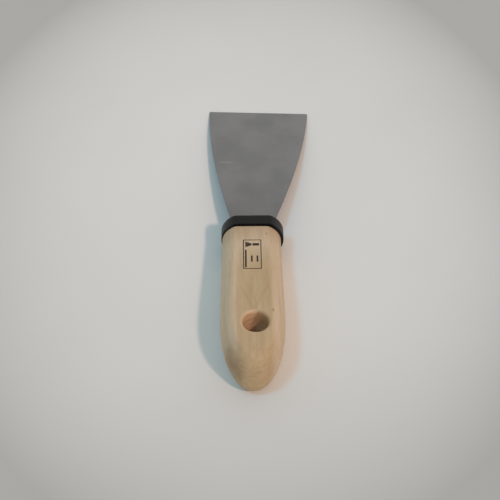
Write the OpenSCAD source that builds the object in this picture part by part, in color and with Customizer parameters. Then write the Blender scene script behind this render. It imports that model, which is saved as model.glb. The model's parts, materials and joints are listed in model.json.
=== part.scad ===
// Flexible putty knife: a thin spring-steel blade set in a one-piece beech handle through a black
// plastic ferrule. It is drawn as it lies on a flat surface: +Y points to the working edge, +Z is up,
// and the origin is the centre of the hanging hole where it comes out on that surface.
//
// Most of the shape is drawn in the handle's own frame: the origin is the middle of the ferrule's
// front face, +Y runs to the working edge and z = 0 is the handle's middle plane. seated() then lays
// it down on the handle's lower flat.

/* [Blade] */
// Width of the working edge
edge_w = 60; // [40:1:80]
// Length of the leaf from the ferrule to the working edge
leaf_len = 109.5; // [90:0.5:130]
// Width of the blade where it leaves the ferrule
neck_w = 19.8; // [16:0.2:20]
// Fullness of the flare: 1 is straight, more is rounder
flare = 1.61; // [1.1:0.01:2]
// Thickness of the tang and neck
neck_t = 0.8; // [0.7:0.05:1.2]
// Thickness at the working edge after taper grinding
edge_t = 0.5; // [0.4:0.05:0.7]
// Downward set of the leaf, in degrees, which brings the working edge to the surface
leaf_set = 4.64; // [2:0.02:5]
// Skew of the blade in its pocket, in degrees
blade_skew = 2.6; // [0:0.1:3]

/* [Tang] */
// Length of the tang behind the ferrule's front face
tang_len = 50; // [35:1:52]
// Width of the tang at its end
tang_end_w = 12; // [8:0.5:13]
// Barbs along each edge of the tang
barbs = 4; // [0:1:6]

/* [Handle] */
// Length from the ferrule's front face to the butt
grip_len = 101.5; // [98:0.5:125]
// Width of the wood at the ferrule
front_w = 31.6; // [28:0.1:32]
// Greatest width of the grip
belly_w = 33; // [33:0.1:38]
// Width that the sides would reach at the butt if its end were not rounded
heel_w = 19.5; // [16:0.5:30]
// Thickness at the ferrule
front_t = 23.7; // [20:0.1:26]
// Depth to which the front of each flat is eased down into the ferrule
ease = 0.8; // [0:0.1:1]
// Taper of each flat to the middle plane, in degrees
flat_taper = 1.9; // [1:0.1:2.5]

/* [Hanging hole] */
// Diameter of the hanging hole
hole_d = 13; // [8:0.5:15]
// Distance of the hole behind the ferrule's front face
hole_back = 75.5; // [68:0.5:76]
// Distance of the hole to the right of the handle's middle line
hole_off = 1.2; // [-1.5:0.1:1.5]

/* [Ferrule] */
// Length of the ferrule
ferrule_len = 7.6; // [6:0.2:12]
// Thickness of the ferrule's front wall
front_wall = 2; // [1.2:0.1:3]
// Thickness of the ferrule's skirt
skirt_t = 1.4; // [1:0.1:2]
// Height of the ferrule's sides above the wood behind it
proud = 1; // [0.2:0.1:1.6]
// Distance of the ferrule and the blade to the right of the handle's middle line
head_off = 0.5; // [-0.5:0.1:0.5]

/* [Hidden] */

big = 400; // longer than the whole knife

// Cross-section: a superellipse whose top and bottom are planed flat. It is squarer at the belly.
front_power = 2.05;
belly_power = 2.4;
flat_share = 0.855; // half thickness at the flat, as a share of the superellipse's half height
section_steps = 44;

// Grip stations, as shares of grip_len behind the ferrule's front face.
swell_from = 0.089; // the sides start to swell here
belly_at = 0.65;
round_from = 0.73; // the butt's rounding starts here
round_power = 3.4;
ease_len = 5; // the front of each flat is eased over this length
ease_steps = 6;
spigot_inset = 1.2; // the spigot is this much inside the wood's outline
grip_steps = 14;
butt_steps = 14;

// Leaf.
bend_len = 25; // the downward set is spread over this much of the leaf
bend_steps = 8;
flare_steps = 22;
taper_from = 14; // taper grinding starts this far in front of the ferrule

// Pocket for the tang, open at the front of the handle.
pocket_w = 20.4;
pocket_h = 1.9;
pocket_end = 54;
barb_depth = 0.8;
barb_pitch = 8;
barbs_from = 12; // first barb, behind the ferrule's front face
slot_w = 20.8;
slot_h = 1.5;

half_front = front_t / 2;
bend_radius = bend_len / (leaf_set * PI / 180);

// Half height of the handle at the flats, v behind the ferrule's front face.
function half_height(v) = half_front + v * tan(flat_taper);

// How far the front of each flat is eased down, v behind the ferrule's front face: a parabola.
function eased(v) = ease * pow(max(0, 1 - (v - ferrule_len) / ease_len), 2);

// Half width of the sides before the butt is rounded: straight behind the ferrule, a half cosine
// wave up to the belly, then a parabola.
function half_side(u) =
    u < swell_from ? front_w / 2
    : u < belly_at
    ? (belly_w + front_w - (belly_w - front_w) * cos(180 * (u - swell_from) / (belly_at - swell_from))) / 4
    : (belly_w - (belly_w - heel_w) * pow((u - belly_at) / (1 - belly_at), 2)) / 2;

// Share of the section that is left as the butt rounds off, from 1 down to 0.
function butt_share(u) =
    u <= round_from ? 1
    : pow(1 - pow((u - round_from) / (1 - round_from), round_power), 1 / round_power);

// A superellipse of half axes a and b and of the given power, as points.
function signed_pow(x, p) = sign(x) * pow(abs(x), p);
function superellipse(a, b, power) =
    [for (i = [0:section_steps - 1])
        let (t = 360 * (i + 0.5) / section_steps)
        [a * signed_pow(cos(t), 2 / power), b * signed_pow(sin(t), 2 / power)]];

// The section's power at a share u of the grip, which grows from the ferrule to the belly.
function power_at(u) = front_power + (belly_power - front_power) * min(1, u / belly_at);

// Stations along the grip: the eased front, even steps, then steps that close up towards the butt's end.
ease_end = (ferrule_len + ease_len) / grip_len;
grip_stations = concat(
    [for (i = [0:ease_steps - 1]) (ferrule_len + ease_len * i / ease_steps) / grip_len],
    [for (i = [0:grip_steps - 1]) ease_end + (round_from - ease_end) * i / grip_steps],
    [for (i = [0:butt_steps])
        round_from + (1 - round_from) * sin(88 * i / butt_steps)]);

// Half width and middle height of the leaf's centre surface, as functions of position.
function leaf_half_w(y) =
    neck_w / 2 + (edge_w - neck_w) / 2 * (1 - pow(1 - min(1, y / leaf_y(leaf_len)), flare));
function set_angle(s) = leaf_set * min(s, bend_len) / bend_len;
function leaf_y(s) =
    bend_radius * sin(set_angle(s)) + max(0, s - bend_len) * cos(leaf_set);
function leaf_z(s) =
    -bend_radius * (1 - cos(set_angle(s))) - max(0, s - bend_len) * sin(leaf_set);
function leaf_t(s) =
    neck_t - (neck_t - edge_t) * max(0, s - taper_from) / (leaf_len - taper_from);

// Lays the handle's frame down on its lower flat, with the hanging hole over the origin.
seat_z = half_front * cos(flat_taper);
seat_y = hole_back * cos(flat_taper) + half_front * sin(flat_taper);
module seated() {
    translate([-hole_off, seat_y, seat_z]) rotate([-flat_taper, 0, 0]) children();
}

// Moves the ferrule, the blade and what holds them off the handle's middle line.
module head() {
    translate([head_off, 0, 0]) children();
}

// The space between the two planed flats, and the same with the front of the wood eased down.
module between_flats() {
    between([-big / 4, big / 2], [0, 0]);
}
module between_eased_flats() {
    front = [for (i = [0:ease_steps]) ferrule_len + ease_len * i / ease_steps];
    at = concat([0], front, [big / 2]);
    between(at, [for (v = at) eased(max(v, ferrule_len))]);
}
module between(at, drop) {
    last = len(at) - 1;
    rotate([90, 0, 90])
        translate([0, 0, -big / 2])
            linear_extrude(big)
                polygon(concat(
                    [for (i = [0:last]) [-at[i], half_height(at[i]) - drop[i]]],
                    [for (i = [last:-1:0]) [-at[i], -half_height(at[i]) + drop[i]]]));
}

// The grip's outer form before planing: sections from the ferrule to the butt, closed at the end.
module grip_form() {
    rings = [for (u = grip_stations)
        let (v = u * grip_len, k = butt_share(u))
        [for (p = superellipse(half_side(u) * k, half_height(v) / flat_share * k - eased(v), power_at(u)))
            [p[0], -v, p[1]]]];
    n = section_steps;
    m = len(rings);
    points = concat([for (r = rings) each r], [[0, -grip_len, 0]]);
    front = [[for (i = [0:n - 1]) i]];
    sides = [for (j = [0:m - 2]) for (i = [0:n - 1])
        let (a = j * n + i, b = j * n + (i + 1) % n)
        each [[b, a, a + n], [b, a + n, b + n]]];
    butt = [for (i = [0:n - 1]) [(m - 1) * n + (i + 1) % n, (m - 1) * n + i, m * n]];
    polyhedron(points, concat(front, sides, butt), convexity = 4);
}

// A straight bar of the front section, made larger to the sides and smaller all round, between two
// distances back.
module section_bar(wider, inset, back_from, back_to) {
    rotate([90, 0, 0])
        translate([0, 0, back_from])
            linear_extrude(back_to - back_from)
                polygon(superellipse(
                    half_side(ferrule_len / grip_len) + wider - inset,
                    half_height(ferrule_len) / flat_share - inset,
                    power_at(ferrule_len / grip_len)));
}

// The step on the front of the wood that fills the ferrule's inside.
module spigot() {
    half_h = half_front - skirt_t;
    intersection() {
        section_bar(0, spigot_inset, front_wall, ferrule_len + 1);
        translate([-big / 2, -big / 2, -half_h]) cube([big, big, 2 * half_h]);
    }
}

// The tang's pocket, cut straight in from the front of the wood.
module pocket() {
    translate([-pocket_w / 2, -pocket_end, -pocket_h / 2])
        cube([pocket_w, pocket_end - front_wall, pocket_h]);
}

// The hanging hole, drilled square to the lower flat.
module hanging_hole() {
    translate([0, 0, -big / 4]) cylinder(d = hole_d, h = big / 2, $fn = 96);
}

module handle() {
    color("burlywood")
        difference() {
            seated()
                difference() {
                    union() {
                        intersection() {
                            grip_form();
                            between_eased_flats();
                        }
                        head() spigot();
                    }
                    head() pocket();
                }
            hanging_hole();
        }
}

module ferrule() {
    color([0.09, 0.09, 0.1])
        seated()
            head() difference() {
                intersection() {
                    section_bar(proud, 0, 0, ferrule_len);
                    between_flats();
                }
                spigot();
                translate([-slot_w / 2, -ferrule_len, -slot_h / 2])
                    cube([slot_w, 2 * ferrule_len, slot_h]);
            }
}

// Plan outline of the blade's right-hand side, from the tang's end to the working edge.
function tang_half_w(v) = tang_end_w / 2 + (neck_w - tang_end_w) / 2 * (1 - v / tang_len);
barb_points = [for (i = [barbs - 1:-1:0])
    let (v = barbs_from + i * barb_pitch)
    each [
        [tang_half_w(v) - barb_depth, -v - barb_pitch * 0.4],
        [tang_half_w(v), -v]
    ]];
flare_points = [for (i = [0:flare_steps])
    let (y = leaf_y(leaf_len) * i / flare_steps)
    [leaf_half_w(y), y]];
right_side = concat(
    [[tang_end_w / 2 - 1, -tang_len]], [[tang_end_w / 2, -tang_len + 1]], barb_points, flare_points);
left_side = [for (i = [len(right_side) - 1:-1:0]) [-right_side[i][0], right_side[i][1]]];

// Side profile of the blade: the flat tang, the bend and the straight taper-ground leaf.
profile_s = concat(
    [for (i = [0:bend_steps]) bend_len * i / bend_steps],
    [leaf_len]);
function leaf_side(s, side) = [
    leaf_y(s) + side * leaf_t(s) / 2 * sin(set_angle(s)),
    leaf_z(s) + side * leaf_t(s) / 2 * cos(set_angle(s))];
upper_side = concat([[-tang_len - 1, neck_t / 2]], [for (s = profile_s) leaf_side(s, 1)]);
lower_side = concat([[-tang_len - 1, -neck_t / 2]], [for (s = profile_s) leaf_side(s, -1)]);
lower_back = [for (i = [len(lower_side) - 1:-1:0]) lower_side[i]];

// The blade in the handle's frame, before it is seated.
module blade_form() {
    rotate([0, 0, -blade_skew])
        intersection() {
            translate([0, 0, -big / 8])
                linear_extrude(big / 4)
                    polygon(concat(right_side, left_side));
            rotate([90, 0, 90])
                translate([0, 0, -edge_w])
                    linear_extrude(2 * edge_w)
                        polygon(concat(upper_side, lower_back));
        }
}

module blade() {
    color([0.47, 0.47, 0.47]) seated() head() blade_form();
}

// Cured resin that fills the pocket round the tang.
module tang_adhesive() {
    color([0.75, 0.6, 0.3])
        seated()
            head() difference() {
                pocket();
                blade_form();
            }
}

handle();
ferrule();
blade();
tang_adhesive();
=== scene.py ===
import json
import math

import bmesh
import bpy
import numpy as np
from bpy.props import FloatProperty, FloatVectorProperty, IntProperty, PointerProperty
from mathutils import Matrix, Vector


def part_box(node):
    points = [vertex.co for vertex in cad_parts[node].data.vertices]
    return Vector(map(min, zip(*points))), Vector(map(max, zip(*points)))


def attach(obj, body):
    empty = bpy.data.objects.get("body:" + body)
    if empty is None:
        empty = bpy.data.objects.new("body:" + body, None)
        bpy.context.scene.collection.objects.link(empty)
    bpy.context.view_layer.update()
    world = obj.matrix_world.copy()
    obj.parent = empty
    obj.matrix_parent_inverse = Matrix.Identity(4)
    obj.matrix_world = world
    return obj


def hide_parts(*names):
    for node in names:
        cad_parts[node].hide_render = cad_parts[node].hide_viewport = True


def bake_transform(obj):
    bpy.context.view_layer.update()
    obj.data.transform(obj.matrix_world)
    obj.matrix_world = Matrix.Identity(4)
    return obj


bl_info = {
    "name": "Flexible putty knife",
    "version": (1, 0, 0),
    "blender": (4, 5, 0),
    "location": "View3D > Sidebar > Putty knife",
    "description": "Builds a flexible putty knife, its finishes and its studio round a CAD frame",
    "category": "Object",
}

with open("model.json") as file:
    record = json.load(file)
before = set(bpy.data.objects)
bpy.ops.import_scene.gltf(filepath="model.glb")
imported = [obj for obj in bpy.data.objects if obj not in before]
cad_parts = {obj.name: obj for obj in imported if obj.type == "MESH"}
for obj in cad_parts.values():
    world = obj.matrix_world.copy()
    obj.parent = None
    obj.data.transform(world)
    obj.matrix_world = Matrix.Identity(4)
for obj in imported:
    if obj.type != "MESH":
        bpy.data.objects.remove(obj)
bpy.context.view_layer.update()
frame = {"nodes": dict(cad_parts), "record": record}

MM = 0.001
MOUNTS = {mount["name"]: mount for mount in frame["record"]["mounts"]}
HOLE = MOUNTS["hanging_hole"]
MIDDLE_X = MOUNTS["rest_flat"]["pos_m"][0]  # the grip's middle line

RING = 128  # points round the grip and the ferrule
CORNER = 10  # the ring point that a box-shaped ring puts at its corner
HALF_WINDOW = 11  # half of the ring's points that the hanging hole's window takes
ALONG_LEAF = 110  # rings along the leaf
ACROSS_LEAF = 33  # points across each face of the blade
SPIGOT_GAP = 0.02 * MM  # between the spigot and the ferrule's inside
SHARP = math.radians(38)  # edges steeper than this stay crisp
FLAT_TAPER = 1.9  # slope of each flat, in degrees

# Places for the finishes, in millimetres.
PIN_KNOTS = ((8.8, 7.4, 0.9), (6.6, 61.5, 0.7))  # x, y and reach of each knot
ARCHES = ((11.5, 0.42), (19.0, 0.25))  # y of each arch's tip, and how strong it is
FLAT_AT_HOLE = 28.7  # height of the upper flat at the hanging hole
DARK_PATCH_SPOT = (-11.5, -18.0, 17.14)  # middle of the darker patch on the butt's lower left
FERRULE_REAR = (67.9, 68.9)  # where the ferrule's rear edge starts to shine
SCRATCH = (-15.2, 135)  # middle of the scratch on the leaf
PAINTED_LIGHT_MIDDLE = (-4.69, 122.36)  # middle of the pool of painted light on the floor
PAINTED_LIGHT_SPREAD = (138, 184)  # how far the painted light on the floor reaches, across and along


def length(name, description, default):
    """A property for a length in metres, given in millimetres."""
    return FloatProperty(
        name=name, description=description, default=default * MM, unit="LENGTH", precision=5, min=0.0
    )


def angle(name, description, default):
    """A property for an angle, given in degrees."""
    return FloatProperty(name=name, description=description, default=math.radians(default), unit="ROTATION")


def share(name, description, default):
    """A property for a plain number between nothing and a few times one."""
    return FloatProperty(name=name, description=description, default=default, subtype="FACTOR", min=0.0)


def colour(name, description, default):
    """A property for a linear colour."""
    return FloatVectorProperty(
        name=name, description=description, default=default, subtype="COLOR", size=3, min=0.0, max=1.0
    )


def direction(name, description, default):
    """A property for a direction, towards where a light comes from."""
    return FloatVectorProperty(name=name, description=description, default=default, subtype="DIRECTION")


class GripSizes(bpy.types.PropertyGroup):
    """Sizes of the beech grip. Distances along it are measured back from the ferrule's front face."""

    grip_length: length("Length", "From the ferrule's front face to the butt", 101.5)
    front_width: length("Front width", "Width of the wood behind the ferrule", 31.6)
    belly_width: length("Belly width", "Greatest width", 33)
    heel_width: length("Heel width", "Width the sides would reach if the butt were not rounded", 19.5)
    front_thickness: length("Front thickness", "Thickness between the flats at the front", 23.7)
    ease: length("Ease", "How far the front of each flat is eased down", 0.8)
    ease_length: length("Ease length", "How much of each flat is eased", 5)
    flat_taper: angle("Flat taper", "Slope of each flat to the middle plane", FLAT_TAPER)
    swell_from: share("Swell start", "Where the sides start to swell, as a share of the length", 0.089)
    belly_at: share("Belly place", "Where the grip is widest, as a share of its length", 0.65)
    round_from: share("Butt start", "Where the butt starts to round off, as a share of the length", 0.73)
    round_power: share("Butt fullness", "Power of the butt's rounding", 3.4)
    front_power: share("Front section power", "Superellipse power of the section at the front", 2.05)
    belly_power: share("Belly section power", "Superellipse power of the section at the belly", 2.4)
    flat_share: share("Flat share", "Half thickness at the flat over the superellipse's half height", 0.855)
    flat_softness: length("Flat edge softness", "How far the flat's edge is eased", 0.7)
    shoulder: length("Shoulder round", "Rounding of the wood's edge behind the ferrule", 0.9)
    rim_round: length("Hole rim round", "Rounding of the hanging hole's rims", 1.5)
    pocket_width: length("Pocket width", "Width of the tang's pocket", 20.4)
    pocket_height: length("Pocket height", "Height of the tang's pocket", 1.9)
    pocket_end: length("Pocket end", "How far back the tang's pocket reaches", 54)


class FerruleSizes(bpy.types.PropertyGroup):
    """Sizes of the moulded ferrule."""

    ferrule_length: length("Length", "Along the knife", 7.6)
    front_wall: length("Front wall", "Thickness of the front wall", 2)
    skirt: length("Skirt", "Thickness of the skirt at the flats", 1.4)
    spigot_inset: length("Spigot inset", "How far the spigot is inside the wood's outline", 1.2)
    proud: length("Proud", "Height of the sides above the wood", 1)
    aside: length("Aside", "How far the ferrule and blade lie right of the grip's middle line", 0.5)
    front_round: length("Front round", "Rounding of the front edge", 0.7)
    rear_round: length("Rear round", "Rounding of the rear edge", 0.15)
    slot_width: length("Slot width", "Width of the blade's slot", 20.8)
    slot_height: length("Slot height", "Height of the blade's slot", 1.5)


class BladeSizes(bpy.types.PropertyGroup):
    """Sizes of the spring-steel blade and its tang."""

    leaf_length: length("Leaf length", "From the ferrule to the working edge", 109.5)
    edge_width: length("Edge width", "Width of the working edge", 60)
    neck_width: length("Neck width", "Width where the blade leaves the ferrule", 19.8)
    flare: share("Flare", "Fullness of the flare, where 1 is straight", 1.61)
    neck_thickness: length("Neck thickness", "Thickness of the tang and neck", 0.8)
    edge_thickness: length("Edge thickness", "Thickness at the working edge", 0.5)
    taper_from: length("Taper start", "Where the taper grinding starts", 14)
    leaf_set: angle("Leaf set", "Downward set of the leaf", 4.64)
    bend_length: length("Bend length", "How much of the leaf the set is spread over", 25)
    skew: angle("Skew", "Turn of the blade in its pocket", 2.6)
    tang_length: length("Tang length", "Behind the ferrule's front face", 50)
    tang_end_width: length("Tang end width", "Width of the tang at its end", 12)
    corner_round: length("Corner round", "Rounding of the working edge's corners", 0.5)
    edge_ease: length("Edge ease", "Easing of the sheet's long edges", 0.12)
    barbs: IntProperty(name="Barbs", description="Barbs on each side of the tang", default=4, min=0)


class MarkSizes(bpy.types.PropertyGroup):
    """Place and size of the plain printed mark on the upper flat."""

    mark_from: length("Front", "Distance of the frame behind the ferrule's front face", 19.2)
    mark_across: length("Across", "Distance of the frame to the right of the middle line", 0.15)
    mark_length: length("Length", "Length of the frame along the knife", 21.5)
    mark_width: length("Width", "Width of the frame", 9.6)
    line_width: length("Line", "Width of the frame's line", 0.5)
    film: length("Film", "How far the ink stands above the wood", 0.02)


class Finishes(bpy.types.PropertyGroup):
    """Base colours of the finishes, as linear colours."""

    beech_light: colour("Beech, light", "Pale beech between the streaks", (0.655, 0.515, 0.355))
    beech_dark: colour("Beech, dark", "Streaks and late growth of the beech", (0.53, 0.39, 0.25))
    beech_fleck: colour("Beech, flecks", "Ray flecks and pores", (0.26, 0.155, 0.08))
    # Tint for the darker, yellower stripe along the middle of the flats, strongest towards the butt, and for
    # the two arches.
    beech_deep_tint: colour("Beech, heart", "What the heart stripe leaves of the colour", (0.85, 0.80, 0.68))
    bore: colour("Bore", "Clean drilled wood", (0.79, 0.565, 0.355))
    # The colour of the painted shadow on the right of the hanging hole's wall.
    painted_bore_shadow: colour("Shadow", "Drilled wood browned by the drill", (0.43, 0.275, 0.145))
    # Darkens the patch on the butt's lower left, and gives the painted shade in front of the wood's shoulder
    # at the ferrule.
    dark_patch_and_shade: colour("Darkening", "What the darkened patch at the butt leaves of the colour", (0.62, 0.53, 0.43))
    steel: colour("Steel", "Ground spring steel", (0.300, 0.300, 0.315))
    plastic: colour("Plastic", "Moulded black plastic", (0.006, 0.006, 0.0065))
    # Painted sheen: the lighter colour given to the ferrule's sides.
    painted_with_sheen: colour("Sheened plastic", "The plastic where it is rubbed at the sides", (0.026, 0.026, 0.025))
    ink: colour("Ink", "Dark brown printing ink", (0.022, 0.013, 0.009))
    resin: colour("Resin", "Cured resin round the tang", (0.45, 0.30, 0.12))
    resin_cloud: colour("Resin, cloudy", "The resin where it is cloudy", (0.30, 0.19, 0.07))
    floor: colour("Floor", "Pale floor", (0.788, 0.80, 0.782))


class StageSettings(bpy.types.PropertyGroup):
    """Camera, floor and lights."""

    elevation: angle("Elevation", "Camera's height above the horizon", 48.3)
    turn: angle("Turn", "Camera's turn about the upright, clockwise from above", 0.575)
    distance: length("Distance", "Camera's distance from the point it looks at", 617.3)
    focal_length: FloatProperty(name="Lens", description="Focal length", default=80.7, unit="CAMERA")
    aim_across: length("Aim across", "Point looked at, left of the grip's middle line", 0.77)
    aim_back: length("Aim back", "Point looked at, behind the ferrule's front", 3.83)
    floor_side: length("Floor side", "Side of the floor", 6000)
    warm_from: direction("Warm from", "Where the warm light comes from", (0.60, -0.66, 1.0))
    warm_spread: angle("Warm spread", "How wide the warm light is", 5)
    warm_strength: share("Warm light", "Strength of the light from the front right", 1.16)
    warm_colour: colour("Warm colour", "Colour of the light from the front right", (1.0, 0.67, 0.565))
    cool_from: direction("Cool from", "Where the cool light comes from", (-0.43, -0.23, 1.0))
    cool_spread: angle("Cool spread", "How wide the cool light is", 9)
    cool_strength: share("Cool light", "Strength of the light from the front left", 0.52)
    cool_colour: colour("Cool colour", "Colour of the light from the front left", (0.05, 0.60, 1.0))
    sky: colour("Sky", "Light from all round", (0.473, 0.461, 0.418))
    back_glow: colour("Back glow", "Light added low on the blade's side", (0.40, 0.40, 0.40))
    glow_power: share("Glow power", "How tightly the glow is gathered", 3.5)


class KnifeSettings(bpy.types.PropertyGroup):
    """All the settings of the putty knife."""

    grip: PointerProperty(type=GripSizes)
    ferrule: PointerProperty(type=FerruleSizes)
    blade: PointerProperty(type=BladeSizes)
    mark: PointerProperty(type=MarkSizes)
    finish: PointerProperty(type=Finishes)
    stage: PointerProperty(type=StageSettings)


# -------- shapes shared by the pieces


def signed_power(x, power):
    """The sign of x times its size raised to power."""
    return np.sign(x) * np.abs(x) ** power


def smooth_min(a, b, softness):
    """The smaller of a and b, rounded where they cross: less by a quarter of softness there."""
    h = np.clip(0.5 + 0.5 * (b - a) / softness, 0, 1)
    return b + (a - b) * h - softness * h * (1 - h)


def ring_angles():
    """Angles of a ring's points, anticlockwise from +X with +Z up, half a step off the axes."""
    return 2 * np.pi * (np.arange(RING) + 0.5) / RING


def section_ring(half_w, half_h, power, flat, softness):
    """A superellipse whose top and bottom are planed at flat, with softly rounded edges, as x and z."""
    t = ring_angles()
    x = half_w * signed_power(np.cos(t), 2 / power)
    rise = half_h * np.abs(np.sin(t)) ** (2 / power)
    return x, np.sign(np.sin(t)) * smooth_min(rise, flat, softness)


def box_ring(half_w, half_h):
    """A rectangle with as many points as a section ring, spread along its sides, its top and its bottom."""
    t = ring_angles()
    c, s = np.cos(t), np.sin(t)
    corner = t[CORNER]
    on_side = np.abs(s) <= np.sin(corner) * 1.0001
    x = np.where(on_side, np.sign(c) * half_w, half_w * c / np.cos(corner))
    z = np.where(on_side, half_h * s / np.sin(corner), np.sign(s) * half_h)
    return x, z


def at_distance(ring, y):
    """A ring's x and z as points at the distance y along the knife."""
    x, z = ring
    return np.stack([x, np.full_like(x, y), z], axis=1)


def quads_between(a, b):
    """Quads that join two rings of point numbers, which run the same way round."""
    return np.stack([a, np.roll(a, -1), np.roll(b, -1), b], axis=1).tolist()


class Grip:
    """The grip's surface, worked out from its sizes. v is the distance behind the ferrule's front face."""

    def __init__(self, sizes, ferrule_length):
        self.s = sizes
        self.ferrule_length = ferrule_length
        self.tan = math.tan(sizes.flat_taper)
        self.half_front = sizes.front_thickness / 2
        taper = sizes.flat_taper
        self.turn = np.array(
            [[1, 0, 0], [0, math.cos(taper), math.sin(taper)], [0, -math.sin(taper), math.cos(taper)]]
        )
        front_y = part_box("ferrule")[1].y - self.half_front * math.sin(taper)
        self.mouth = np.array([MIDDLE_X, front_y, self.half_front * math.cos(taper)])

    def seated(self, points, aside=0.0):
        """Points in the grip's own frame, moved right by aside, then laid down on the lower flat."""
        return (np.asarray(points, float) + [aside, 0, 0]) @ self.turn.T + self.mouth

    def unseated(self, point):
        """A point in the shared frame, in the grip's own frame."""
        return (np.asarray(point, float) - self.mouth) @ self.turn

    def half_height(self, v):
        """Height of the upper flat over the middle plane: a straight taper."""
        return self.half_front + v * self.tan

    def eased(self, v):
        """How far the front of each flat is eased down: a parabola that starts at the ferrule's rear."""
        s = self.s
        return s.ease * np.clip(1 - (v - self.ferrule_length) / s.ease_length, 0, 1) ** 2

    def half_side(self, v):
        """Half width before the butt is rounded: straight, a half cosine wave to the belly, a parabola."""
        s = self.s
        u = v / s.grip_length
        swell = np.clip((u - s.swell_from) / (s.belly_at - s.swell_from), 0, 1)
        front = s.front_width + (s.belly_width - s.front_width) * (1 - np.cos(np.pi * swell)) / 2
        rear = s.belly_width - (s.belly_width - s.heel_width) * ((u - s.belly_at) / (1 - s.belly_at)) ** 2
        return np.where(u < s.belly_at, front, rear) / 2

    def left(self, v):
        """Share of the section left as the butt rounds off: a superellipse quadrant from 1 down to 0."""
        s = self.s
        t = np.clip((v / s.grip_length - s.round_from) / (1 - s.round_from), 0, 1)
        return (1 - t**s.round_power) ** (1 / s.round_power)

    def power(self, v):
        """The section's power, which grows from the ferrule to the belly."""
        s = self.s
        grown = np.minimum(1, v / s.grip_length / s.belly_at)
        return s.front_power + (s.belly_power - s.front_power) * grown

    def ring(self, v, inset=0.0):
        """The section at v, made smaller by inset."""
        k = self.left(v)
        half_w = self.half_side(v) * k - inset
        half_h = self.half_height(v) / self.s.flat_share * k - self.eased(v) - inset
        flat = self.half_height(v) - self.eased(v) - inset
        return at_distance(section_ring(half_w, half_h, self.power(v), flat, self.s.flat_softness), -v)

    def height(self, x, v):
        """Height of the upper surface over the middle plane at x and v."""
        k, power = self.left(v), self.power(v)
        across = np.abs(x / (self.half_side(v) * k)) ** power
        rise = self.half_height(v) / self.s.flat_share * k * np.clip(1 - across, 0, 1) ** (1 / power)
        return smooth_min(rise, self.half_height(v), self.s.flat_softness)


def knife_in(context):
    """The knife's settings, and the grip that they describe."""
    settings = context.scene.putty_knife
    return settings, Grip(settings.grip, settings.ferrule.ferrule_length)


def ferrule_ring(grip, ferrule, inset, y):
    """The ferrule's section, made smaller by inset, at y. Its flats run on from the grip's."""
    v = ferrule.ferrule_length
    half_w = float(grip.half_side(v)) + ferrule.proud - inset
    half_h = grip.half_height(v) / grip.s.flat_share - inset
    level = grip.half_height(-y) - inset
    return at_distance(section_ring(half_w, half_h, grip.power(v), level, grip.s.flat_softness), y)


def spigot_ring(grip, ferrule, gap, y):
    """The section of the wood's spigot inside the ferrule, made smaller by gap, at y."""
    v = ferrule.ferrule_length
    half_w = float(grip.half_side(v)) - ferrule.spigot_inset - gap
    half_h = grip.half_height(v) / grip.s.flat_share - ferrule.spigot_inset - gap
    level = grip.half_front - ferrule.skirt - gap
    return at_distance(section_ring(half_w, half_h, grip.power(v), level, grip.s.flat_softness), y)


def put(name, data):
    """A new object in the scene, at the origin."""
    made = bpy.data.objects.new(name, data)
    bpy.context.scene.collection.objects.link(made)
    return made


def make_piece(name, points, faces, material):
    """A mesh object at the origin with outward faces, smooth but for its crisp edges."""
    mesh = bpy.data.meshes.new(name)
    mesh.from_pydata(np.asarray(points, float).tolist(), [], faces)
    shape = bmesh.new()
    shape.from_mesh(mesh)
    loose = [v for v in shape.verts if not v.link_faces]
    bmesh.ops.delete(shape, geom=loose, context="VERTS")
    bmesh.ops.recalc_face_normals(shape, faces=shape.faces)
    open_edges = sum(1 for e in shape.edges if len(e.link_faces) != 2)
    shape.to_mesh(mesh)
    shape.free()
    if open_edges:
        raise RuntimeError(f"{name} has {open_edges} edges that don't join two faces")
    mesh.shade_smooth()
    mesh.set_sharp_from_angle(angle=SHARP)
    mesh.materials.append(material)
    return put(name, mesh)


def check_inside(piece, node, slack=0.05 * MM):
    """Raises an error if a piece reaches out of the box of the CAD node that it stands for."""
    low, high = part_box(node)
    points = np.empty((len(piece.data.vertices), 3), np.float32)
    piece.data.vertices.foreach_get("co", points.ravel())
    out = max((np.array(low) - points.min(0)).max(), (points.max(0) - np.array(high)).max())
    if out > slack:
        raise RuntimeError(f"{piece.name} reaches {out / MM:.2f} mm out of {node}")


# -------- handle


def grip_stations(grip, front, hole_front, hole_rear):
    """Distances of the skin's rings, and the numbers of the first and the last one beside the hole.

    They open out from the ferrule by a power, are even past the hole, and close up to the butt as a quarter
    of a sine wave does.
    """
    end = grip.s.grip_length
    ahead = front + (hole_front - front) * np.linspace(0, 1, 58, endpoint=False) ** 1.35
    beside = np.linspace(hole_front, hole_rear, 20, endpoint=False)
    behind = hole_rear + (end - hole_rear) * np.sin(np.linspace(0, 1, 40, endpoint=False) * np.pi / 2)
    last = end - 0.00002 * end
    return np.concatenate([ahead, beside, behind, [last]]), len(ahead), len(ahead) + len(beside)


def front_rings(grip, ferrule):
    """Rings out of the tang's pocket, back over the spigot and a quarter circle round the wood's shoulder."""
    s = grip.s
    pocket = box_ring(s.pocket_width / 2, s.pocket_height / 2)
    inside = [
        at_distance(pocket, -s.pocket_end),
        at_distance(pocket, -ferrule.front_wall),
        spigot_ring(grip, ferrule, SPIGOT_GAP, -ferrule.front_wall),
        spigot_ring(grip, ferrule, SPIGOT_GAP, -ferrule.ferrule_length),
    ]
    rings = [ring + [ferrule.aside, 0, 0] for ring in inside]
    for turn in np.radians([0, 30, 60]):
        inset = s.shoulder * (1 - math.sin(turn))
        rings.append(grip.ring(ferrule.ferrule_length + s.shoulder * (1 - math.cos(turn)), inset))
    return rings


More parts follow.
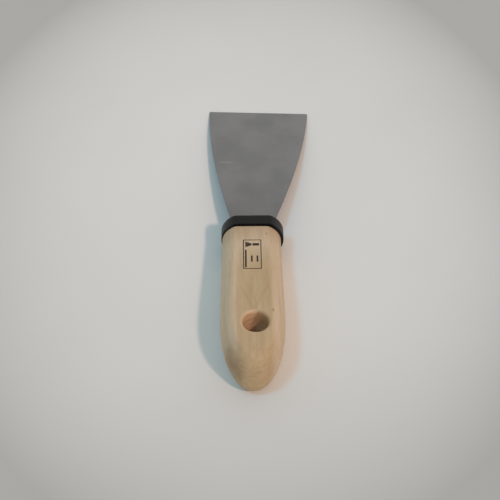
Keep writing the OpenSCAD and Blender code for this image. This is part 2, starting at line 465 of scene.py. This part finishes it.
class HangingHole:
    """The hanging hole in the grip's own frame, where its axis leans by the flats' taper."""

    def __init__(self, grip):
        self.grip = grip
        self.radius = HOLE["dims"]["r_mm"] * MM
        foot = grip.unseated(HOLE["pos_m"])
        self.x = foot[0]
        self.y = foot[1] + foot[2] * grip.tan  # where the axis crosses the middle plane
        reach = self.radius + grip.s.rim_round + 2.2 * MM
        self.window_front, self.window_rear = -foot[1] - reach, -foot[1] + reach

    def bearings(self, points):
        """Directions of points from the axis, as angles from +X."""
        return np.arctan2(points[:, 1] - self.y, points[:, 0] - self.x)

    def circle(self, radius, phi, z):
        """Points at a radius from the leaning axis, in the directions phi, z over the middle plane."""
        x = self.x + radius * np.cos(phi)
        y = self.y - z * self.grip.tan + radius * np.sin(phi) / math.cos(self.grip.s.flat_taper)
        return np.stack([x, y, np.broadcast_to(z, x.shape)], axis=1)

    def rim_rings(self, edge, phi, side):
        """Rings from a window's edge straight in to the rim's circle, held on the grip's surface, then a
        quarter circle over the rim. side is 1 for the upper window and -1 for the lower one."""
        grip, rim = self.grip, self.grip.s.rim_round
        z = np.full(len(phi), side * grip.half_front)
        for _ in range(4):  # each pass puts the circle nearer to the surface
            circle = self.circle(self.radius + rim, phi, z)
            z = side * grip.height(circle[:, 0], -circle[:, 1])
        circle = self.circle(self.radius + rim, phi, z)
        rings = []
        for t in np.linspace(0, 1, 9)[1:]:
            ring = edge + (circle - edge) * t
            ring[:, 2] = side * grip.height(ring[:, 0], -ring[:, 1])
            rings.append(ring)
        for turn in np.radians([12, 25, 40, 55, 72, 90]):
            down = side * rim * (1 - math.cos(turn))
            rings.append(self.circle(self.radius + rim * (1 - math.sin(turn)), phi, z - down))
        return rings


def window_loop(first, last, left, right):
    """Ring and point numbers round a window of the skin, from ring first to ring last, in order."""
    across = np.arange(left, right + 1)
    along = np.arange(first, last + 1)
    ring_no = np.concatenate(
        [np.full(len(across), first), along[1:], np.full(len(across) - 1, last), along[1:-1][::-1]]
    )
    point_no = np.concatenate(
        [across, np.full(len(along) - 1, right), across[:-1][::-1], np.full(len(along) - 2, left)]
    )
    return ring_no, point_no


def handle_mesh(grip, ferrule):
    """Points and faces of the handle.

    The skin is one grid of sections from the tang's pocket, out over the spigot and the shoulder, and along
    to the butt. Round the hanging hole a window is left out of the grid at the top and the bottom. Rings fill
    it from the upper window's edge to a circle, over the rounded rim, down the bore and out below.
    """
    hole = HangingHole(grip)
    wood_front = ferrule.ferrule_length + grip.s.shoulder
    stations, first, last = grip_stations(grip, wood_front, hole.window_front, hole.window_rear)
    rings = front_rings(grip, ferrule)
    first, last = first + len(rings), last + len(rings)
    rings += [grip.ring(v) for v in stations]
    points = np.concatenate(rings + [[[0, -grip.s.grip_length, 0]]])
    number = np.arange(len(rings) * RING).reshape(len(rings), RING)

    left, right = RING // 4 - HALF_WINDOW, RING // 4 + HALF_WINDOW - 1
    cut = [*range(left, right), *range(RING - 1 - right, RING - 1 - left)]
    faces = [number[0].tolist()]
    for j in range(len(rings) - 1):
        quads = quads_between(number[j], number[j + 1])
        if first <= j < last:
            quads = np.delete(quads, cut, axis=0).tolist()
        faces += quads
    pole = np.full(RING, len(points) - 1)
    faces += np.stack([number[-1], np.roll(number[-1], -1), pole], axis=1).tolist()

    ring_no, point_no = window_loop(first, last, left, right)
    upper_edge, lower_edge = number[ring_no, point_no], number[ring_no, RING - 1 - point_no]
    phi = hole.bearings(points[upper_edge])
    upper = hole.rim_rings(points[upper_edge], phi, 1)
    lower = hole.rim_rings(points[lower_edge], phi, -1)
    wall = [upper[-1] + (lower[-1] - upper[-1]) * t for t in np.linspace(0, 1, 14)[1:-1]]
    bore = np.array(upper + wall + lower[::-1])
    bore_number = len(points) + np.arange(bore.shape[0] * bore.shape[1]).reshape(bore.shape[:2])
    chain = [upper_edge, *bore_number, lower_edge]
    for a, b in zip(chain, chain[1:]):
        faces += quads_between(a, b)
    return np.concatenate([points, bore.reshape(-1, 3)]), faces


class PUTTY_OT_handle(bpy.types.Operator):
    """Build the beech handle with its hanging hole, spigot and pocket"""

    bl_idname = "putty_knife.build_handle"
    bl_label = "Handle"

    def execute(self, context):
        settings, grip = knife_in(context)
        points, faces = handle_mesh(grip, settings.ferrule)
        handle = make_piece("beech_handle", grip.seated(points), faces, beech(settings.finish))
        check_inside(handle, "handle")
        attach(handle, "grip")
        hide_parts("handle")
        return {"FINISHED"}


# -------- ferrule


def ferrule_mesh(grip, ferrule):
    """Points and faces of the ferrule: a closed band of rings that runs from the front face over the front
    edge, back along the outside, round the rear edge, forward inside the skirt and out of the slot. Both
    edges are quarter circles."""
    f = ferrule
    rings = []
    for turn in np.radians([0, 15, 30, 45, 60, 75, 90]):
        inset = f.front_round * (1 - math.sin(turn))
        rings.append(ferrule_ring(grip, f, inset, -f.front_round * (1 - math.cos(turn))))
    for t in (0.25, 0.5, 0.75):
        rings.append(ferrule_ring(grip, f, 0, -f.front_round + t * (f.front_round - f.ferrule_length)))
    for turn in np.radians([0, 30, 60, 90]):
        inset = f.rear_round * (1 - math.cos(turn))
        rings.append(ferrule_ring(grip, f, inset, -f.ferrule_length + f.rear_round * (1 - math.sin(turn))))
    slot = box_ring(f.slot_width / 2, f.slot_height / 2)
    ease = f.rear_round / 2
    mouth = box_ring(f.slot_width / 2 + ease, f.slot_height / 2 + ease)
    rings += [
        spigot_ring(grip, f, 0, -f.ferrule_length),
        spigot_ring(grip, f, 0, -f.front_wall),
        at_distance(slot, -f.front_wall),
        at_distance(slot, -f.rear_round),
        at_distance(mouth, 0),
    ]
    number = np.arange(len(rings) * RING).reshape(len(rings), RING)
    faces = []
    for j in range(len(rings)):
        faces += quads_between(number[j], number[(j + 1) % len(rings)])
    return np.concatenate(rings), faces


class PUTTY_OT_ferrule(bpy.types.Operator):
    """Build the black moulded ferrule"""

    bl_idname = "putty_knife.build_ferrule"
    bl_label = "Ferrule"

    def execute(self, context):
        settings, grip = knife_in(context)
        points, faces = ferrule_mesh(grip, settings.ferrule)
        points = grip.seated(points, settings.ferrule.aside)
        ferrule = make_piece("moulded_ferrule", points, faces, black_plastic(settings.finish))
        check_inside(ferrule, "ferrule")
        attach(ferrule, "grip")
        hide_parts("ferrule")
        return {"FINISHED"}


# -------- blade


class Blade:
    """The blade's centre surface and outline. s is the distance along the leaf from the ferrule's front."""

    def __init__(self, sizes):
        self.s = sizes
        self.radius = sizes.bend_length / sizes.leaf_set

    def set_angle(self, s):
        """Slope of the leaf: it grows evenly over the bend, then stays."""
        return self.s.leaf_set * np.clip(s / self.s.bend_length, 0, 1)

    def middle(self, s):
        """The centre line's y and z: straight in the tang, an arc over the bend, then straight."""
        beyond = np.maximum(0, s - self.s.bend_length)
        a = self.set_angle(s)
        y = np.where(s < 0, s, self.radius * np.sin(a) + beyond * math.cos(self.s.leaf_set))
        z = -self.radius * (1 - np.cos(a)) - beyond * math.sin(self.s.leaf_set)
        return y, z

    def thickness(self, s):
        """Thickness: even in the tang and neck, then a straight taper."""
        b = self.s
        ground = np.clip((s - b.taper_from) / (b.leaf_length - b.taper_from), 0, 1)
        return b.neck_thickness - (b.neck_thickness - b.edge_thickness) * ground

    def leaf_half_width(self, s):
        """Half width of the leaf: a power flare that ends parallel at the working edge, corners rounded."""
        b = self.s
        y, _ = self.middle(s)
        full, _ = self.middle(np.array(b.leaf_length))
        grown = 1 - (1 - np.clip(y / full, 0, 1)) ** b.flare
        corner = np.clip((s - (b.leaf_length - b.corner_round)) / b.corner_round, 0, 1)
        cut = b.corner_round * (1 - np.sqrt(1 - corner**2))
        return b.neck_width / 2 + (b.edge_width - b.neck_width) / 2 * grown - cut

    def tang_outline(self):
        """Distances along the tang and half widths there: a taper with a saw tooth for each barb."""
        b = self.s
        first, pitch, depth, step = 12 * MM, 8 * MM, 0.8 * MM, 0.01 * MM
        cut_corner = 1 * MM

        def width(v):
            """Half width of the tang at the distance v, without the teeth: a straight taper."""
            return b.tang_end_width / 2 + (b.neck_width - b.tang_end_width) / 2 * (1 - v / b.tang_length)

        at = [-b.tang_length, -b.tang_length + cut_corner]
        half = [b.tang_end_width / 2 - cut_corner, b.tang_end_width / 2]
        for i in reversed(range(b.barbs)):
            v = first + i * pitch
            at += [-v - 0.4 * pitch, -v - step]
            half += [width(v) - depth, width(v)]
        return np.array(at), np.array(half)


def blade_mesh(blade):
    """Points and faces of the blade: a thin closed section, eased at its long edges, carried along the tang
    and the leaf. At each distance it is as wide as the outline and as thick as the taper says."""
    b = blade.s
    tang_at, tang_half = blade.tang_outline()
    along = np.linspace(0, b.leaf_length - b.corner_round, ALONG_LEAF)
    corner = b.leaf_length - b.corner_round * (1 - np.sin(np.radians([20, 40, 60, 78, 90])))
    leaf_at = np.concatenate([along, corner])
    at = np.concatenate([tang_at, leaf_at])
    half = np.concatenate([tang_half, blade.leaf_half_width(leaf_at)])
    thick = blade.thickness(at)
    thick[-1] -= b.edge_ease

    # The section's points run across the top, down the right edge, back across the bottom and up the left.
    across, face = np.linspace(-1, 1, ACROSS_LEAF), np.ones(ACROSS_LEAF)
    x_share = np.concatenate([across, [1, 1], across[::-1], [-1, -1]])
    side = np.concatenate([face, [1, -1], -face, [-1, 1]])
    inset = np.concatenate([face, [0, 0], face, [0, 0]])
    eased = 1 - inset

    x = x_share * (half[:, None] - inset * b.edge_ease)
    off = side * (thick[:, None] / 2 - eased * b.edge_ease)
    y, z = blade.middle(at)
    a = blade.set_angle(at)
    y = y[:, None] + off * np.sin(a)[:, None]
    z = z[:, None] + off * np.cos(a)[:, None]
    cos, sin = math.cos(b.skew), math.sin(b.skew)
    points = np.stack([x * cos + y * sin, -x * sin + y * cos, z], axis=2)
    count = points.shape[1]
    number = np.arange(len(at) * count).reshape(len(at), count)
    faces = [number[0].tolist(), number[-1][::-1].tolist()]
    for j in range(len(at) - 1):
        faces += quads_between(number[j], number[j + 1])
    return points.reshape(-1, 3), faces


class PUTTY_OT_blade(bpy.types.Operator):
    """Build the spring-steel blade, which bends where it leaves the ferrule"""

    bl_idname = "putty_knife.build_blade"
    bl_label = "Blade"

    def execute(self, context):
        settings, grip = knife_in(context)
        shape = Blade(settings.blade)
        points, faces = blade_mesh(shape)
        points = grip.seated(points, settings.ferrule.aside)
        blade = make_piece("steel_blade", points, faces, ground_steel(settings.finish))
        check_inside(blade, "blade")
        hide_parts("blade")
        start = Vector(grip.seated([0, 0, 0], settings.ferrule.aside))
        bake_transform(blade)
        return {"FINISHED"}


# -------- printed mark and resin


def film_solid(grip, mark, outline, base):
    """Points and faces of a thin solid of ink on the upper flat, from an outline of x and v in metres."""
    outline = np.asarray(outline, float)
    x, v = outline[:, 0], outline[:, 1]
    levels = [-mark.film, mark.film]
    points = np.concatenate([np.stack([x, -v, grip.half_height(v) + level], axis=1) for level in levels])
    count = len(outline)
    lower, upper = np.arange(count) + base, np.arange(count) + base + count
    return points, [lower.tolist(), upper[::-1].tolist()] + quads_between(lower, upper)


def oblong(x0, x1, v0, v1):
    """The corners of a rectangle."""
    return [(x0, v0), (x1, v0), (x1, v1), (x0, v1)]


def mark_outlines(mark):
    """Outlines of the mark in x and v: a thin frame, a plain sign of a scraper and three plain bars."""
    half, line = mark.mark_width / 2, mark.line_width
    start, end = mark.mark_from, mark.mark_from + mark.mark_length
    frame_sides = [
        oblong(-half, half, start, start + line),
        oblong(-half, half, end - line, end),
        oblong(-half, -half + line, start + line, end - line),
        oblong(half - line, half, start + line, end - line),
    ]

    row = start + 0.165 * mark.mark_length
    edge_x, neck_x, handle_x, handle_end_x = -3.6 * MM, -0.3 * MM, 0.2 * MM, 3.6 * MM
    edge, neck, thick = 2.1 * MM, 0.6 * MM, 0.9 * MM
    leaf = [(edge_x, row - edge), (edge_x, row + edge), (neck_x, row + neck), (neck_x, row - neck)]
    sign = [leaf, oblong(handle_x, handle_end_x, row - thick, row + thick)]

    bars = []
    for x, low, high in ((-3.4, 0.35, 0.95), (-0.3, 0.55, 0.76), (2.6, 0.55, 0.76)):
        front, rear = start + low * mark.mark_length, start + high * mark.mark_length
        bars.append(oblong(x * MM - thick / 2, x * MM + thick / 2, front, rear))
    return frame_sides + sign + bars


class PUTTY_OT_mark(bpy.types.Operator):
    """Print the plain mark on the upper flat"""

    bl_idname = "putty_knife.build_mark"
    bl_label = "Printed mark"

    def execute(self, context):
        settings, grip = knife_in(context)
        points, faces = [], []
        for outline in mark_outlines(settings.mark):
            outline = np.asarray(outline) + [settings.mark.mark_across, 0]
            base = sum(len(p) for p in points)
            more, sides = film_solid(grip, settings.mark, outline, base)
            points.append(more)
            faces += sides
        mark = make_piece("printed_mark", grip.seated(np.concatenate(points)), faces, ink(settings.finish))
        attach(mark, "grip")
        return {"FINISHED"}


class PUTTY_OT_resin(bpy.types.Operator):
    """Give the resin round the tang its finish"""

    bl_idname = "putty_knife.finish_resin"
    bl_label = "Tang resin"

    def execute(self, context):
        resin = frame["nodes"]["tang_adhesive"]
        resin.data.materials.clear()
        resin.data.materials.append(cured_resin(context.scene.putty_knife.finish))
        return {"FINISHED"}


# -------- finishes


class Nodes:
    """Short calls that add and join the nodes of a tree."""

    def __init__(self, tree):
        self.tree = tree

    def node(self, kind, settings=None, **sockets):
        """Adds a node. settings are its own options, and sockets its inputs: values, or outputs to join."""
        made = self.tree.nodes.new(kind)
        for key, value in (settings or {}).items():
            setattr(made, key, value)
        for key, value in sockets.items():
            self.join(value, made.inputs[int(key[1:]) if key[0] == "_" else key])
        return made

    def join(self, value, socket):
        """Joins an output to an input, or sets the input's own value, with full alpha if it is a colour."""
        if isinstance(value, bpy.types.NodeSocket):
            self.tree.links.new(value, socket)
        else:
            socket.default_value = (*value, 1) if socket.type == "RGBA" else value

    def axes(self, vector):
        """The X, Y and Z of a vector."""
        return self.node("ShaderNodeSeparateXYZ", Vector=vector).outputs

    def maths(self, operation, a, b=0.5):
        """One step of arithmetic."""
        return self.node("ShaderNodeMath", {"operation": operation}, _0=a, _1=b).outputs[0]

    def mix(self, factor, a, b, kind="MIX"):
        """Mixes two colours."""
        settings = {"data_type": "RGBA", "blend_type": kind}
        return self.node("ShaderNodeMix", settings, Factor=factor, _6=a, _7=b).outputs[2]


class Finish(Nodes):
    """A node material under construction."""

    def __init__(self, name):
        self.material = bpy.data.materials.new(name)
        self.material.use_nodes = True
        super().__init__(self.material.node_tree)
        self.shader = self.tree.nodes["Principled BSDF"]
        self.place = self.node("ShaderNodeTexCoord").outputs["Object"]

    def surface(self, base, roughness):
        """Gives the shader its colour and roughness."""
        self.join(base, self.shader.inputs["Base Color"])
        self.join(roughness, self.shader.inputs["Roughness"])

    def per_mm(self, x, y, z, turn=(0, 0, 0), move=(0, 0, 0)):
        """Object coordinates scaled so that one unit is 1/x, 1/y and 1/z millimetres."""
        inputs = {"Vector": self.place, "Location": move, "Rotation": turn, "Scale": (x / MM, y / MM, z / MM)}
        return self.node("ShaderNodeMapping", **inputs).outputs["Vector"]

    def noise(self, vector, detail=3.0, roughness=0.5):
        """Fractal noise from 0 to 1, centred near a half."""
        made = self.node("ShaderNodeTexNoise", Vector=vector, Scale=1.0, Detail=detail, Roughness=roughness)
        return made.outputs["Fac"]

    def span(self, value, low, high, to_low=0.0, to_high=1.0):
        """Takes the range low to high to the range to_low to to_high, with soft ends."""
        made = self.node("ShaderNodeMapRange", {"interpolation_type": "SMOOTHSTEP"}, Value=value)
        for key, number in (("From Min", low), ("From Max", high), ("To Min", to_low), ("To Max", to_high)):
            made.inputs[key].default_value = number
        return made.outputs["Result"]

    def add(self, a, b):
        """a plus b."""
        return self.maths("ADD", a, b)

    def times(self, a, b):
        """a times b."""
        return self.maths("MULTIPLY", a, b)

    def size(self, a):
        """a without its sign."""
        return self.maths("ABSOLUTE", a)

    def from_spot(self, spot, weight):
        """Distance from a spot in millimetres, with a weight for the part of it along each axis."""
        away = self.per_mm(*weight, move=[-place * part for place, part in zip(spot, weight)])
        return self.node("ShaderNodeVectorMath", {"operation": "LENGTH"}, _0=away).outputs["Value"]

    def tinted(self, base, tint, factor):
        """A colour multiplied by a tint, as far as the factor says."""
        return self.mix(factor, base, self.mix(1.0, base, tint, "MULTIPLY"))

    def bump(self, height, strength, distance):
        """Joins a bump to the shader's normal. distance is in millimetres."""
        made = self.node("ShaderNodeBump", Height=height, Strength=strength, Distance=distance * MM)
        self.tree.links.new(made.outputs["Normal"], self.shader.inputs["Normal"])


def beech_grain(f, finish, fibre):
    """Pale beech: growth rings round a pith far below the grip, cut lengthwise, with streaks and fibres."""
    wander = f.noise(f.per_mm(0.09, 0.018, 0.09), detail=2.0)
    pith = f.axes(f.per_mm(1, 1, 1, turn=(math.radians(5), 0, math.radians(1.2)), move=(5, 0, 46)))
    square = f.add(f.times(pith["X"], pith["X"]), f.times(pith["Z"], pith["Z"]))
    from_pith = f.add(f.maths("SQRT", square), f.times(wander, 6.0))
    late_growth = f.span(f.maths("FRACT", f.maths("DIVIDE", from_pith, 3.1)), 0.35, 0.97)
    streak = f.noise(f.per_mm(0.42, 0.012, 0.42), roughness=0.55)
    tone = f.add(f.times(late_growth, 0.2), f.span(streak, 0.36, 0.68, 0.0, 0.5))
    tone = f.add(tone, f.span(fibre, 0.3, 0.72, -0.16, 0.24))
    tone = f.maths("MAXIMUM", f.maths("MINIMUM", tone, 1.0), 0.0)
    return f.mix(tone, finish.beech_light, finish.beech_dark)


def drilled_beech(f, finish, at):
    """The hanging hole's wall: layered end grain, with a painted shadow on the right down to a slanting
    limit.
    """
    layers = f.noise(f.per_mm(0.12, 0.1, 0.5))
    wall = f.mix(f.span(layers, 0.35, 0.65), finish.bore, [0.8 * c for c in finish.bore])
    depth = f.maths("SUBTRACT", FLAT_AT_HOLE, at["Z"])
    # Painted shadow: darker to the right of the bore, fading out with depth.
    shadow_to_right = f.span(f.add(at["X"], f.times(depth, 0.3)), 0.3, 2.0)
    return f.mix(f.times(shadow_to_right, f.span(depth, 7.0, 14.0, 0.85, 0.0)), wall, finish.painted_bore_shadow)


def beech(finish):
    """Bare sanded beech: pale grain with a deeper stripe and two arches along the flat's middle, ray flecks,
    two pin knots, a browner drilled wall with a painted shadow on its right, a darker patch on the butt's
    left and painted shade towards the ferrule."""
    f = Finish("bare_beech")
    at = f.axes(f.per_mm(1, 1, 1))
    fibre = f.noise(f.per_mm(2.6, 0.09, 2.6), detail=4.0, roughness=0.6)
    wood = beech_grain(f, finish, fibre)

    # A darker, yellower stripe along the middle of the flats, strongest towards the butt.
    waver = f.noise(f.per_mm(0.05, 0.02, 0.05))
    off_middle = f.add(f.size(at["X"]), f.times(waver, 5.0))
    stripe = f.times(f.span(off_middle, 9.5, 13.0, 1.0, 0.0), f.span(at["Y"], 34, 58, 1.0, 0.1))
    wood = f.tinted(wood, finish.beech_deep_tint, stripe)

    rays = f.span(f.noise(f.per_mm(3.2, 0.55, 3.2), detail=1.0), 0.68, 0.80, 0.0, 0.5)
    wood = f.mix(rays, wood, finish.beech_fleck)
    for x, y, reach in PIN_KNOTS:
        from_knot = f.from_spot((x, y, 0), (1, 0.6, 0))
        wood = f.mix(f.span(from_knot, 0.2, reach, 0.6, 0.0), wood, finish.beech_fleck)

    slope = f.add(at["Y"], f.times(f.size(f.add(at["X"], 0.5)), -2.6))
    slope = f.add(slope, f.times(f.noise(f.per_mm(0.22, 0.1, 0.1)), 9.0))
    for tip, strength in ARCHES:
        off_arch = f.size(f.maths("SUBTRACT", slope, tip))
        arch = f.times(f.span(off_arch, 0.3, 5.0, strength, 0.0), f.span(off_middle, 7.0, 10.0, 1.0, 0.0))
        wood = f.tinted(wood, finish.beech_deep_tint, arch)

    from_axis = f.from_spot((0, 0, 0), (1, 1, 0))
    wood = f.mix(f.span(from_axis, 6.5, 8.3, 1.0, 0.0), wood, drilled_beech(f, finish, at))

    # A darker patch on the butt's lower left.
    blotch = f.noise(f.per_mm(0.25, 0.18, 0.18), roughness=0.6)
    from_dark_patch = f.add(f.from_spot(DARK_PATCH_SPOT, (1, 0.75, 0.7)), f.times(blotch, 6.0))
    patch = f.span(from_dark_patch, 4.0, 14.0, 1.0, 0.0)
    # Painted shade: the wood darkens towards the ferrule's rear edge.
    painted_shade_behind_ferrule = f.span(at["Y"], 52, 68.5, 0.0, 0.5)
    wood = f.tinted(wood, finish.dark_patch_and_shade, f.maths("MAXIMUM", patch, painted_shade_behind_ferrule))

    f.surface(wood, f.span(fibre, 0.3, 0.7, 0.58, 0.72))
    f.bump(f.add(f.times(fibre, 0.6), f.times(rays, -0.5)), 0.35, 0.08)
    return f.material


def black_plastic(finish):
    """Satin black moulding with a faint grain, greyed at its sides by a painted sheen, and dull along its
    rear edge.
    """
    f = Finish("satin_black_plastic")
    at = f.axes(f.per_mm(1, 1, 1))
    grain = f.noise(f.per_mm(5, 5, 5), detail=2.0)
    rub = f.noise(f.per_mm(0.25, 0.25, 0.25))
    worn = f.mix(f.span(rub, 0.4, 0.75, 0.0, 0.6), finish.plastic, [2 * c for c in finish.plastic])
    # Painted sheen: the sides are given a lighter colour.
    sheen_to_sides = f.span(f.size(f.add(at["X"], 0.7)), 9.0, 15.5)
    f.surface(f.mix(sheen_to_sides, worn, finish.painted_with_sheen), f.span(rub, 0.3, 0.7, 0.42, 0.56))
    along = f.maths("SUBTRACT", at["Y"], f.times(at["Z"], math.tan(math.radians(FLAT_TAPER))))
    f.join(f.span(along, *FERRULE_REAR, 0.0, 0.24), f.shader.inputs["Specular IOR Level"])
    f.bump(grain, 0.2, 0.03)
    return f.material


def ground_steel(finish):
    """Dull ground spring steel: fine lines across the leaf, soft smudges, painted shade darkening it towards
    the neck, and one scratch.
    """
    f = Finish("ground_spring_steel")
    lines = f.noise(f.per_mm(0.05, 9, 9), roughness=0.65)
    smudge = f.noise(f.per_mm(0.05, 0.045, 0.05), detail=4.0, roughness=0.55)
    tone = f.mix(f.span(smudge, 0.35, 0.7), finish.steel, [0.88 * c for c in finish.steel])
    # Painted shade: the leaf darkens towards the neck.
    painted_shade_to_neck = f.span(f.axes(f.per_mm(1, 1, 1))["Y"], 70, 125, 1.0, 0.0)
    tone = f.tinted(tone, (0.82, 0.81, 0.81), painted_shade_to_neck)
    tone = f.mix(f.span(lines, 0.3, 0.7, 0.0, 0.35), tone, [0.8 * c for c in finish.steel])

    scratch = f.axes(f.per_mm(1, 1, 1, move=(-SCRATCH[0], -SCRATCH[1], 0)))
    off_middle = f.size(f.maths("DIVIDE", scratch["X"], 5.0))
    off_line = f.size(f.add(scratch["Y"], f.times(scratch["X"], 0.06)))
    bright = f.times(f.span(off_middle, 0.4, 1.0, 0.45, 0.0), f.span(off_line, 0.1, 0.8, 1.0, 0.0))
    tone = f.mix(bright, tone, [1.5 * c for c in finish.steel])

    f.surface(tone, f.span(smudge, 0.3, 0.75, 0.38, 0.46))
    f.shader.inputs["Metallic"].default_value = 1.0
    f.bump(lines, 0.12, 0.02)
    return f.material


def ink(finish):
    """Dark brown ink, a little worn."""
    f = Finish("brown_ink")
    worn = f.span(f.noise(f.per_mm(1.8, 0.9, 1.8), roughness=0.6), 0.5, 0.75, 0.0, 0.5)
    f.surface(f.mix(worn, finish.ink, finish.beech_fleck), 0.6)
    return f.material


def cured_resin(finish):
    """Amber resin with a cloudy body."""
    f = Finish("amber_resin")
    cloud = f.noise(f.per_mm(0.4, 0.4, 0.4))
    body = f.mix(f.span(cloud, 0.3, 0.7), finish.resin, finish.resin_cloud)
    f.surface(body, f.span(cloud, 0.3, 0.7, 0.2, 0.35))
    return f.material


def pale_floor(finish):
    """A plain pale matt floor with the faintest unevenness, under a pool of painted light: palest round the
    knife, it darkens outwards by the fourth power of the distance, counted in the spread across and along,
    down to a limit."""
    f = Finish("pale_floor")
    cloud = f.noise(f.per_mm(0.006, 0.006, 0.006), detail=2.0)
    tone = f.mix(f.span(cloud, 0.35, 0.65), finish.floor, [0.97 * c for c in finish.floor])
    # Painted light: the floor darkens away from the knife.
    away = f.from_spot((*PAINTED_LIGHT_MIDDLE, 0), (1 / PAINTED_LIGHT_SPREAD[0], 1 / PAINTED_LIGHT_SPREAD[1], 0))
    shade = f.maths("MINIMUM", f.times(f.maths("POWER", away, 4.0), 0.13), 0.36)
    f.surface(f.mix(shade, tone, (0, 0, 0)), 0.8)
    f.shader.inputs["Specular IOR Level"].default_value = 0.2
    return f.material


# -------- stage


def add_sun(name, come_from, strength, tint, spread):
    """A distant light that comes from a direction, as wide as the angle spread."""
    lamp = bpy.data.lights.new(name, "SUN")
    lamp.energy, lamp.color, lamp.angle = strength, tint, spread
    put(name, lamp).rotation_euler = Vector(come_from).to_track_quat("Z", "Y").to_euler()


def studio_sky(stage):
    """A soft even sky, with a glow low on the blade's side that grows as a power of the direction's Y."""
    world = bpy.data.worlds.new("studio")
    world.use_nodes = True
    sky = Nodes(world.node_tree)
    towards = sky.axes(sky.node("ShaderNodeTexCoord").outputs["Generated"])
    glow = sky.maths("POWER", sky.maths("MAXIMUM", towards["Y"], 0.0), stage.glow_power)
    bright = [a + b for a, b in zip(stage.sky, stage.back_glow)]
    sky.join(sky.mix(glow, stage.sky, bright), sky.tree.nodes["Background"].inputs["Color"])
    return world


class PUTTY_OT_stage(bpy.types.Operator):
    """Set the floor, the lights and the camera"""

    bl_idname = "putty_knife.build_stage"
    bl_label = "Stage"

    def execute(self, context):
        settings, grip = knife_in(context)
        s = settings.stage
        half = s.floor_side / 2
        corners = [(-half, -half, 0), (half, -half, 0), (half, half, 0), (-half, half, 0)]
        mesh = bpy.data.meshes.new("floor")
        mesh.from_pydata(corners, [], [(0, 1, 2, 3)])
        mesh.materials.append(pale_floor(settings.finish))
        floor = put("floor", mesh)

        add_sun("warm_light", s.warm_from, s.warm_strength, s.warm_colour, s.warm_spread)
        add_sun("cool_light", s.cool_from, s.cool_strength, s.cool_colour, s.cool_spread)
        context.scene.world = studio_sky(s)
        context.scene.view_settings.view_transform = "Standard"

        forward = Vector((math.sin(s.turn), math.cos(s.turn), 0))
        right = Vector((forward.y, -forward.x, 0))
        aim = Vector((grip.mouth[0], grip.mouth[1], 0)) - right * s.aim_across - forward * s.aim_back
        back = Vector((0, 0, 1)) * math.sin(s.elevation) - forward * math.cos(s.elevation)
        lens = bpy.data.cameras.new("camera")
        lens.sensor_width = 36
        lens.lens = s.focal_length
        lens.clip_start, lens.clip_end = 0.01, 20
        camera = put("camera", lens)
        camera.location = aim + back * s.distance
        camera.rotation_euler = back.to_track_quat("Z", "Y").to_euler()
        context.scene.camera = camera
        return {"FINISHED"}


class PUTTY_PT_panel(bpy.types.Panel):
    """Lists the putty knife's steps in the sidebar"""

    bl_idname = "PUTTY_PT_panel"
    bl_label = "Putty knife"
    bl_space_type = "VIEW_3D"
    bl_region_type = "UI"
    bl_category = "Putty knife"

    def draw(self, context):
        for step in STEPS:
            self.layout.operator(step.bl_idname)


STEPS = (PUTTY_OT_handle, PUTTY_OT_ferrule, PUTTY_OT_blade, PUTTY_OT_mark, PUTTY_OT_resin, PUTTY_OT_stage)
SIZES = (GripSizes, FerruleSizes, BladeSizes, MarkSizes)
CLASSES = (*SIZES, Finishes, StageSettings, KnifeSettings, *STEPS, PUTTY_PT_panel)


def register():
    """Registers the classes and puts the settings on the scene."""
    for cls in CLASSES:
        bpy.utils.register_class(cls)
    bpy.types.Scene.putty_knife = PointerProperty(type=KnifeSettings)


def unregister():
    """Takes away what register added."""
    del bpy.types.Scene.putty_knife
    for cls in reversed(CLASSES):
        bpy.utils.unregister_class(cls)


def main():
    """Builds every piece and the stage."""
    register()
    bpy.ops.putty_knife.build_handle()
    bpy.ops.putty_knife.build_ferrule()
    bpy.ops.putty_knife.build_blade()
    bpy.ops.putty_knife.build_mark()
    bpy.ops.putty_knife.finish_resin()
    bpy.ops.putty_knife.build_stage()


if __name__ == "__main__":
    main()
